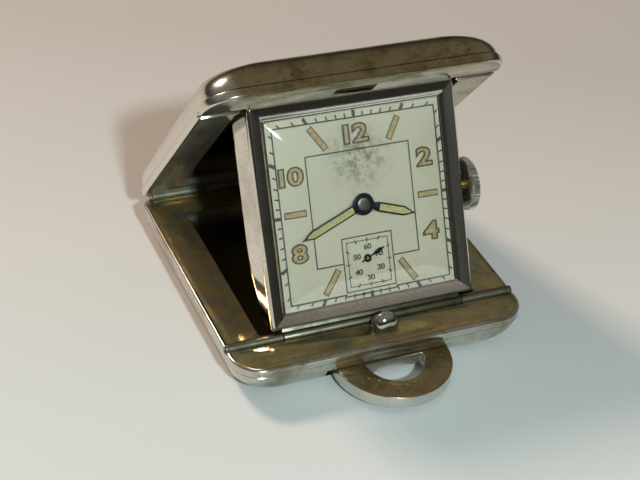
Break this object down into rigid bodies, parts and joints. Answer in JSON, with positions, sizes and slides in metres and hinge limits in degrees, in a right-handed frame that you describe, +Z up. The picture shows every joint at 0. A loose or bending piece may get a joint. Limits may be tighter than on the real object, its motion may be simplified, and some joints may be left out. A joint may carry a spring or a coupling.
{
  "type": "folding travel watch",
  "caption": "Square mechanical watch hinged inside a two-shell nickel travel case, propped upright on its open lid, with a sliding bail catch and a side crown.",
  "frame": {"origin": "centre of the lower shell's flat underside, on the surface it stands on", "axes": "+X to the right along both hinges as the dial is read, +Y from the catch towards the lid's hinge, +Z up from the surface"},
  "size_m": [0.045, 0.0538, 0.0412],
  "materials": {
    "nickel": "polished nickel, worn and warm",
    "gilt": "tarnished bronze-coloured lining plate",
    "polished_steel": "polished steel",
    "steel": "turned steel",
    "bail_steel": "worn nickel with brown tarnish on its upper face",
    "crystal": "clear moulded crystal",
    "dial": "silvered matte dial with black track",
    "hand": "black-edged hand filled with aged ochre paint",
    "blued": "blued steel",
    "brass": "matte gilt brass"
  },
  "bodies": {
    "base": {"lower_shell": "nickel", "lower_frame": "gilt", "main_knuckle_1": "nickel", "main_knuckle_3": "nickel", "main_knuckle_5": "nickel", "main_hinge_pin": "steel", "watch_knuckle_left": "nickel", "watch_knuckle_right": "nickel", "watch_hinge_pin": "steel", "catch_spring": "steel", "spring_stop": "brass"},
    "lid": {"lid_shell": "nickel", "lid_frame": "gilt", "main_knuckle_2": "nickel", "main_knuckle_4": "nickel"},
    "watch": {"watch_case": "polished_steel", "back_cover": "polished_steel", "bezel": "polished_steel", "crystal": "crystal", "dial": "dial", "watch_knuckle_middle": "nickel", "movement_ring": "brass", "main_plate": "brass", "train_bridge": "brass", "balance_cock": "brass", "bridge_screw_1": "blued", "bridge_screw_2": "blued", "bridge_screw_3": "blued", "stem_tube": "brass"},
    "catch": {"bail": "bail_steel", "catch_hook": "polished_steel", "catch_rivet_left": "brass", "catch_rivet_right": "brass"},
    "lever": {"setting_lever": "steel"},
    "crown": {"crown": "polished_steel", "stem": "steel"},
    "centre": {"centre_wheel": "brass", "minute_hand": "hand", "centre_boss": "blued"},
    "hour": {"hour_hand": "hand"},
    "third": {"third_wheel": "brass"},
    "seconds": {"fourth_wheel": "brass", "seconds_hand": "blued"},
    "escape": {"escape_wheel": "steel"},
    "barrel": {"mainspring_barrel": "brass", "mainspring": "blued"},
    "fork": {"pallet_fork": "steel"},
    "balance": {"balance_wheel": "brass", "hairspring": "blued"},
    "ratchet": {"ratchet_wheel": "steel"},
    "crown_wheel": {"crown_wheel": "steel"}
  },
  "joints": [
    {"name": "lid_hinge", "type": "hinge", "parent": "base", "child": "lid", "pos_m": [0, 0.02175, 0.00585], "axis": [-1, 0, 0], "range_deg": [0, 129.1]},
    {"name": "watch_hinge", "type": "hinge", "parent": "base", "child": "watch", "pos_m": [0, -0.0157, 0.00585], "axis": [-1, 0, 0], "range_deg": [0, 62.1]},
    {"name": "catch_slide", "type": "slide", "parent": "base", "child": "catch", "axis": [1, 0, 0], "range_m": [-0.0014, 0], "stiffness_N_per_m": 120, "springref_m": 0.002, "deforming": ["catch_spring"]},
    {"name": "crown_pull", "type": "slide", "parent": "watch", "child": "lever", "axis": [1, 0, 0], "range_m": [0, 0.0005]},
    {"name": "crown_turn", "type": "hinge", "parent": "lever", "child": "crown", "pos_m": [0.01778, -0.007, 0.02014], "axis": [1, 0, 0], "continuous": true},
    {"name": "minute_turn", "type": "hinge", "parent": "watch", "child": "centre", "pos_m": [0, -0.00789, 0.02061], "axis": [0, 0.8838, -0.4679], "continuous": true},
    {"name": "hour_turn", "type": "hinge", "parent": "watch", "child": "hour", "pos_m": [0, -0.00789, 0.02061], "axis": [0, 0.8838, -0.4679], "continuous": true},
    {"name": "third_turn", "type": "hinge", "parent": "watch", "child": "third", "pos_m": [0.00302, -0.00986, 0.01689], "axis": [0, 0.8838, -0.4679], "continuous": true},
    {"name": "seconds_turn", "type": "hinge", "parent": "watch", "child": "seconds", "pos_m": [0, -0.01154, 0.01372], "axis": [0, 0.8838, -0.4679], "continuous": true},
    {"name": "escape_turn", "type": "hinge", "parent": "watch", "child": "escape", "pos_m": [-0.0035, -0.01079, 0.01512], "axis": [0, 0.8838, -0.4679], "continuous": true},
    {"name": "barrel_turn", "type": "hinge", "parent": "watch", "child": "barrel", "pos_m": [0.0018, -0.00533, 0.02544], "axis": [0, 0.8838, -0.4679], "continuous": true},
    {"name": "fork_swing", "type": "hinge", "parent": "watch", "child": "fork", "pos_m": [-0.005, -0.00971, 0.01716], "axis": [0, 0.8838, -0.4679], "range_deg": [-5, 5]},
    {"name": "balance_swing", "type": "hinge", "parent": "watch", "child": "balance", "pos_m": [-0.0069, -0.00807, 0.02025], "axis": [0, 0.8838, -0.4679], "range_deg": [-135, 135], "stiffness_Nm_per_rad": 0.00000015, "deforming": ["hairspring"]},
    {"name": "ratchet_turn", "type": "hinge", "parent": "watch", "child": "ratchet", "pos_m": [0.0018, -0.00533, 0.02544], "axis": [0, 0.8838, -0.4679], "continuous": true},
    {"name": "crown_wheel_turn", "type": "hinge", "parent": "watch", "child": "crown_wheel", "pos_m": [0.0069, -0.00639, 0.02344], "axis": [0, 0.8838, -0.4679], "continuous": true}
  ],
  "couplings": [
    {"joint": "hour_turn", "follows": "minute_turn", "ratio": 0.083333},
    {"joint": "third_turn", "follows": "minute_turn", "ratio": -8},
    {"joint": "seconds_turn", "follows": "minute_turn", "ratio": 60},
    {"joint": "escape_turn", "follows": "minute_turn", "ratio": -600},
    {"joint": "barrel_turn", "follows": "minute_turn", "ratio": -0.15385},
    {"joint": "crown_wheel_turn", "follows": "crown_turn", "ratio": 0.5},
    {"joint": "ratchet_turn", "follows": "crown_turn", "ratio": -0.27273}
  ]
}
